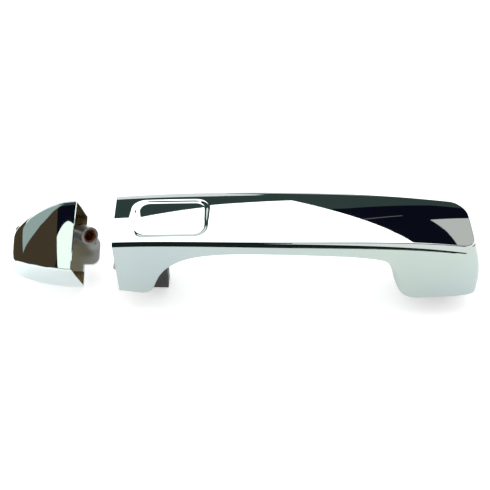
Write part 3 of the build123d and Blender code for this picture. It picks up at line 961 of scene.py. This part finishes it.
    def add_nose(self, skin: Skin, corner: dict[int, np.ndarray]) -> None:
        """Adds the nose between the two side walls.

        Args:
            skin: The base's surfaces so far.
            corner: Last column of the near (-1) and far (1) side wall.
        """
        form = self.form
        near, far = corner[-1], corner[1]
        start = near[0, 0]
        top_z = near[0, 2]
        levels = []
        for k in range(len(near)):
            z = 0.5 * (near[k, 2] + far[k, 2])
            inset = form.side(start) - abs(near[k, 1])
            outline = form.front_line(form.front_x + 1.4 - inset, lambda v: form.side(v) - inset,
                                      lambda v: form.side(v) - inset, 1.5 - min(inset, 1.2))
            gone = np.r_[0, np.cumsum(np.linalg.norm(np.diff(outline, axis=0), axis=1))]
            blend = gone / gone[-1]
            lean = np.clip(plan_normals(outline)[:, 0], 0, 1)
            share = np.clip((z - 30.0) / (top_z - 30.0), 0, 1)
            lost = 1 - form.kept_bevel(lean)
            height = near[k, 2] * (1 - blend) + far[k, 2] * blend + share * lost * form.drop(start)
            outline[:, 0] += (form.nose_x(height) - form.nose_x(np.array(46.0))) * smooth(lean)
            fade = smooth(1 - blend / 0.2)
            fade_far = smooth((blend - 0.8) / 0.2)
            outline += np.outer(fade, near[k, :2] - outline[0]) + np.outer(fade_far, far[k, :2] - outline[-1])
            levels.append(np.concatenate([outline, height[:, None]], axis=1))
        skin.grid(np.array(levels))


# ---- End cap -------------------------------------------------------------------------------


@dataclass
class EndCap:
    """The loose end cap, lying rolled over beside the grip, in millimetres."""

    rim: tuple[float, float, float] = (-230.1, 11.54, 5.746)
    roll_deg: float = 31.4
    wall: float = 1.2
    crown: float = 1.5
    near_round: float = 0.7
    far_round: float = 6.0
    # distance behind the rim, half width at the crease, crease height, half width at the base
    stations: Table = (
        (0.0, 20.9, 40.1, 22.6), (11.6, 19.6, 36.6, 22.3), (23.2, 16.8, 29.6, 21.0), (33.8, 12.8, 20.6, 18.6),
        (41.0, 9.2, 12.0, 16.0), (44.4, 7.0, 5.6, 13.6), (45.2, 5.8, 2.4, 11.8),
    )
    far_extra: tuple[float, float] = (2.2, 4.0)     # how much further the far side reaches, rim and tail
    rim_lean: tuple[float, float] = (2.3, 1.0)      # how far the rim leans back at its near and far crease

    def placed(self, local: np.ndarray) -> np.ndarray:
        """Points of the cap's own frame, turned and moved to where it lies.

        Args:
            local: Array of (x, y, z) points in the cap's own frame.

        Returns:
            The moved points.
        """
        a = math.radians(self.roll_deg)
        x, y, z = local[..., 0], local[..., 1], local[..., 2]
        return np.stack([self.rim[0] + x, self.rim[1] + y * math.cos(a) - z * math.sin(a),
                         self.rim[2] + y * math.sin(a) + z * math.cos(a)], axis=-1)

    def section(self, half: float, crease: float, foot: float) -> np.ndarray:
        """One cross-section as (y, z) points, from the near base corner over the top to the far one.

        Args:
            half: Half width at the crease.
            crease: Height of the crease.
            foot: Half width at the base.

        Returns:
            Array of points, always of the same length.
        """
        near = min(self.near_round, 0.3 * crease)
        far = min(self.far_round, 0.45 * crease, 0.5 * half)
        bulge = self.crown * half / 21.0
        rows = []
        for t in np.linspace(0, 1, 18):
            side = np.array([-foot, 0.0]) * (1 - t) + np.array([-half, crease]) * t
            rows.append(side + np.array([-1.0, 0.3]) * 0.45 * math.sin(math.pi * t))
        rows = rows[:-1]
        start = rows[-1]
        corner = np.array([-half, crease])
        go = np.array([-half + near * 1.6, crease + bulge * 0.12])
        reach = min(1.0, near * 1.6 / max(np.linalg.norm(start - corner), 1e-6))
        for t in np.linspace(0.25, 1, 6):
            rows.append(self.bend(corner + (start - corner) * reach, corner, go, t))
        stop = half - far * 0.75
        for t in np.linspace(0, 1, 26)[1:]:
            y = go[0] + (stop - go[0]) * t
            rows.append(np.array([y, crease + bulge * (1 - (y / half) ** 2)]))
        begin = rows[-1]
        end = np.array([half, crease]) + np.array([foot - half, -crease]) * min(far * 0.9 / crease, 0.5)
        for t in np.linspace(0, 1, 13)[1:]:
            rows.append(self.bend(begin, np.array([half, crease + 0.1 * bulge]), end, t))
        for t in np.linspace(0, 1, 14)[1:]:
            rows.append(end * (1 - t) + np.array([foot, 0.0]) * t)
        return np.array(rows)

    @staticmethod
    def bend(a: np.ndarray, b: np.ndarray, c: np.ndarray, t: float) -> np.ndarray:
        """Point at t on the quadratic curve from a to c that leans to b."""
        return a * (1 - t) ** 2 + b * (2 * t * (1 - t)) + c * t**2

    def build_shell(self) -> bpy.types.Object:
        """Cap shell: loft of the sections with a flat underside and a rounded tail.

        Returns:
            The finished cap shell.
        """
        path = flowing(self.stations, 72)
        rows = []
        for back, half, crease, foot in path:
            ring = self.section(half, crease, foot)
            under = np.linspace(1, -1, 22)[1:-1]
            base = np.stack([under * foot, np.zeros(len(under))], axis=1)
            ring = np.vstack([ring, base])
            rows.append(np.concatenate([np.full((len(ring), 1), -back), ring], axis=1))
        local = np.array(rows)
        x, y, z = local[..., 0], local[..., 1], local[..., 2]
        tail = np.clip(-x / self.stations[-1][0], 0, 1)
        extra = self.far_extra[0] + (self.far_extra[1] - self.far_extra[0]) * np.sqrt(tail)
        across = np.clip((y + 20.9) / 41.8, 0, 1)
        lean = self.rim_lean[0] + (self.rim_lean[1] - self.rim_lean[0]) * across
        local = np.stack([x - lean * z / self.stations[0][2] * (1 - tail),
                          y + extra * across * np.clip(0.45 + z / 40, 0, 1), z], axis=-1)
        rings = self.placed(local)
        skin = Skin("cap_shell_plated")
        skin.grid(rings, ring=True)
        skin.fan(rings[-1])
        heart = self.placed(np.array([-12.0, 0.0, 12.0]))
        obj = skin.build(self.wall, tuple(heart), 40.0)
        dress(obj, Finish.CAP, Finish.INNER_SHADED)
        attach(obj, Body.CAP.value)
        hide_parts("cap_shell")
        return obj


# ---- CAD nodes that keep their shape -------------------------------------------------------


@dataclass
class KeptNodes:
    """CAD nodes that stay as they are and only take a finish."""

    finishes: dict[str, Finish] = field(default_factory=lambda: {
        "core_beam": Finish.NYLON, "rattle_pads": Finish.FOAM,
        "pull_leg": Finish.NYLON, "leg_shoe": Finish.PALE, "hinge_arm": Finish.NYLON,
        "hinge_bushes": Finish.PALE, "hinge_pin": Finish.STEEL, "pin_clips": Finish.SPRING,
        "cover_screws": Finish.SCREWS, "end_tongue": Finish.GREY, "retainer": Finish.ZINC,
        "thread_insert": Finish.COPPER, "retainer_rivets": Finish.STEEL, "cap_screw": Finish.SCREWS,
        "cap_screw_nut": Finish.SCREWS,
    })

    def dress(self) -> None:
        """Puts each node's finish on it."""
        for name, finish in self.finishes.items():
            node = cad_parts.get(name)
            if node is None:
                LOG.warning("no node %s", name)
                continue
            dress(node, finish)
            LOG.info("node %s: %s", name, finish.value.name)


# ---- Studio --------------------------------------------------------------------------------


@dataclass(frozen=True)
class Card:
    """A flat studio card that only mirrors see.

    Attributes:
        name: Name of the card.
        tone: Its radiance.
        corners: Corners in metres.
        lights: True lets it light matt surfaces too.
    """

    name: str
    tone: Tone
    corners: tuple[tuple[float, float, float], ...]
    lights: bool = False

    def build(self) -> bpy.types.Object:
        """Makes the card.

        Returns:
            The card's object.
        """
        mesh = bpy.data.meshes.new(self.name)
        mesh.from_pydata([Vector(c) for c in self.corners], [], [tuple(range(len(self.corners)))])
        obj = bpy.data.objects.new(self.name, mesh)
        bpy.context.scene.collection.objects.link(obj)
        material = bpy.data.materials.new(self.name)
        material.use_nodes = True
        tree = material.node_tree
        tree.nodes.clear()
        glow = tree.nodes.new("ShaderNodeEmission")
        glow.inputs["Color"].default_value = (*self.tone.value, 1.0)
        out = tree.nodes.new("ShaderNodeOutputMaterial")
        tree.links.new(glow.outputs["Emission"], out.inputs["Surface"])
        mesh.materials.append(material)
        obj.visible_camera = False
        obj.visible_shadow = False
        obj.visible_diffuse = self.lights
        return obj


@dataclass
class Studio:
    """Floor, white surround, cards and camera, in metres."""

    floor_z: float = -0.0086
    floor_half: float = 6.0
    floor_glow: float = 0.36
    target: tuple[float, float, float] = (-0.130, 0.0, 0.0265)
    distance: float = 0.720
    azimuth_deg: float = 1.8
    elevation_deg: float = 45.0
    lens: float = 87.4
    height: float = 0.85
    gap: float = 0.01           # between the layers of ceiling cards
    front_wall_y: float = -1.0
    cap_wall_x: float = -0.42
    cap_wall_low: float = -0.008
    cap_wall_step: float = 0.165    # height where the cap's dark card gives way to the white one
    surround: float = 1.0

    def cards(self) -> list[Card]:
        """The studio's cards.

        Returns:
            The cards, in the order they are made.
        """
        h = self.height
        low, high = h - self.gap, h + self.gap
        front = self.front_wall_y
        end, foot, step = self.cap_wall_x, self.cap_wall_low, self.cap_wall_step
        patch = foot + 0.0002
        return [
            Card("overhead_softbox", Tone.SOFTBOX,
                 ((-0.100, 1.165, low), (-0.270, 1.030, low), (-0.460, 0.800, low), (-0.530, 0.810, low),
                  (-0.620, 0.830, low), (-0.620, -0.120, low), (0.354, -0.120, low)), True),
            Card("back_wall_slate", Tone.SLATE,
                 ((-5.0, 1.00, h), (0.02, 1.00, h), (0.36, 1.42, h), (0.80, 1.75, h), (1.0, 2.1, h),
                  (0.5, 1.9, h), (0.0, 1.64, h), (-5.0, 1.62, h))),
            Card("ceiling_slate", Tone.SLATE,
                 ((-5.0, -0.12, h), (-0.05, -0.12, h), (-0.05, 0.95, h), (0.02, 1.00, h), (-5.0, 1.00, h))),
            Card("ceiling_navy", Tone.NAVY,
                 ((-0.6, -0.12, high), (1.1, -0.12, high), (2.5, 5.0, high), (0.2, 5.0, high),
                  (0.2, 1.8, high), (-0.6, 1.4, high))),
            Card("far_navy", Tone.NAVY,
                 ((0.60, 3.0, 0.30), (2.2, 2.0, 0.30), (2.2, 2.0, h), (0.60, 3.0, h))),
            Card("grey_panel", Tone.GREY,
                 ((0.256, 0.845, low), (0.288, 0.640, low), (0.309, 0.430, low), (0.34, 0.30, low),
                  (0.80, 0.30, low), (0.80, 1.42, low), (0.444, 1.050, low))),
            Card("thin_rail", Tone.DIM,
                 ((0.045, 0.748, low), (0.168, 0.882, low), (0.163, 0.890, low), (0.040, 0.756, low))),
            Card("ceiling_front", Tone.BLACK,
                 ((-5.0, front, h), (0.55, front, h), (0.55, -0.12, h), (-5.0, -0.12, h))),
            Card("front_dark", Tone.BLACK,
                 ((-1.3, front, 0.275), (0.6, front, 0.275), (0.6, front, h), (-1.3, front, h))),
            Card("cap_brown", Tone.BROWN,
                 ((end, -0.075, foot), (end, 0.045, foot), (end, 0.044, 0.06), (end, 0.045, step),
                  (end, -0.075, step))),
            Card("cap_mist", Tone.MIST,
                 ((end - 0.001, 0.030, foot), (end - 0.001, 0.170, foot), (end - 0.001, 0.170, 0.24),
                  (end - 0.001, 0.030, step))),
            Card("cap_white", Tone.WHITE,
                 ((end, -0.30, step), (end, -0.026, step), (end, -0.026, 0.50), (end, -0.30, 0.50))),
            Card("cap_navy", Tone.NAVY,
                 ((end, -0.024, step), (end, 0.060, step), (end, 0.100, 0.50), (end, -0.024, 0.50))),
            Card("cap_low", Tone.BROWN,
                 ((end, -0.03, patch), (-0.29, -0.01, patch), (-0.29, 0.10, patch), (end, 0.12, patch))),
        ]

    def build(self) -> None:
        """Makes the whole studio."""
        self.build_floor()
        for card in self.cards():
            card.build()
        world = bpy.context.scene.world or bpy.data.worlds.new("surround")
        bpy.context.scene.world = world
        world.use_nodes = True
        back = world.node_tree.nodes["Background"]
        back.inputs["Color"].default_value = (1.0, 1.0, 1.0, 1.0)
        back.inputs["Strength"].default_value = self.surround
        bpy.context.scene.view_settings.view_transform = "Standard"
        self.build_camera()

    def build_floor(self) -> None:
        """Plain pale floor."""
        s, z = self.floor_half, self.floor_z
        mesh = bpy.data.meshes.new("floor")
        mesh.from_pydata([(-s, -s, z), (s, -s, z), (s, s, z), (-s, s, z)], [], [(0, 1, 2, 3)])
        floor = bpy.data.objects.new("floor", mesh)
        bpy.context.scene.collection.objects.link(floor)
        n = Nodes("pale_floor")
        n.shader.inputs["Base Color"].default_value = (0.93, 0.93, 0.93, 1.0)
        n.shader.inputs["Roughness"].default_value = 0.9
        n.shader.inputs["Specular IOR Level"].default_value = 0.1
        n.shader.inputs["Emission Color"].default_value = (1.0, 1.0, 1.0, 1.0)
        n.shader.inputs["Emission Strength"].default_value = self.floor_glow
        mesh.materials.append(n.material)

    def build_camera(self) -> None:
        """Camera in front of and above the handle."""
        a, e = math.radians(self.azimuth_deg), math.radians(self.elevation_deg)
        back = Vector((math.sin(a) * math.cos(e), -math.cos(a) * math.cos(e), math.sin(e)))
        data = bpy.data.cameras.new("camera")
        data.lens = self.lens
        data.sensor_width = 36.0
        cam = bpy.data.objects.new("camera", data)
        bpy.context.scene.collection.objects.link(cam)
        cam.location = Vector(self.target) + back * self.distance
        cam.rotation_mode = "QUATERNION"
        cam.rotation_quaternion = (-back).to_track_quat("-Z", "Y")
        bpy.context.scene.camera = cam


def main() -> None:
    """Builds the handle's visual pieces in order, then the studio."""
    logging.basicConfig(level=logging.INFO, format="%(message)s")
    grip = Grip()
    cap = EndCap()
    pieces = [made() for made in (grip.build_cover, grip.build_seam_shadow, grip.build_tray, grip.build_base)]
    for piece in [*pieces, *grip.build_ends(), cap.build_shell()]:
        LOG.info("piece %s: %d faces", piece.name, len(piece.data.polygons))
    KeptNodes().dress()
    Studio().build()


if __name__ == "__main__":
    main()
